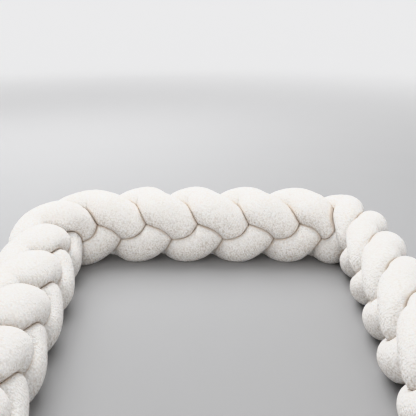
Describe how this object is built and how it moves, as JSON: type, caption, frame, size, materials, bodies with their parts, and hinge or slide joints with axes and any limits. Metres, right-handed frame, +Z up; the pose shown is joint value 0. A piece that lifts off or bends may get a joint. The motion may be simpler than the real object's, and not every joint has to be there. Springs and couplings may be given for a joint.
{
  "type": "braided cushion",
  "caption": "Braided cushion of stuffed plush tubes, plaited flat and standing on its edge in a U, to line and pad the inside of a cot.",
  "frame": {"origin": "on the floor, under the middle of the bounding box", "axes": "+Z up; the back of the U is at +Y and its open side at -Y; +X to the right as seen from the open side"},
  "size_m": [0.6376, 0.8776, 0.1251],
  "materials": {
    "plush": "matt off-white teddy plush with a short nubby pile"
  },
  "bodies": {
    "root": {"tube_1": "plush", "tube_2": "plush", "tube_3": "plush"}
  },
  "joints": []
}
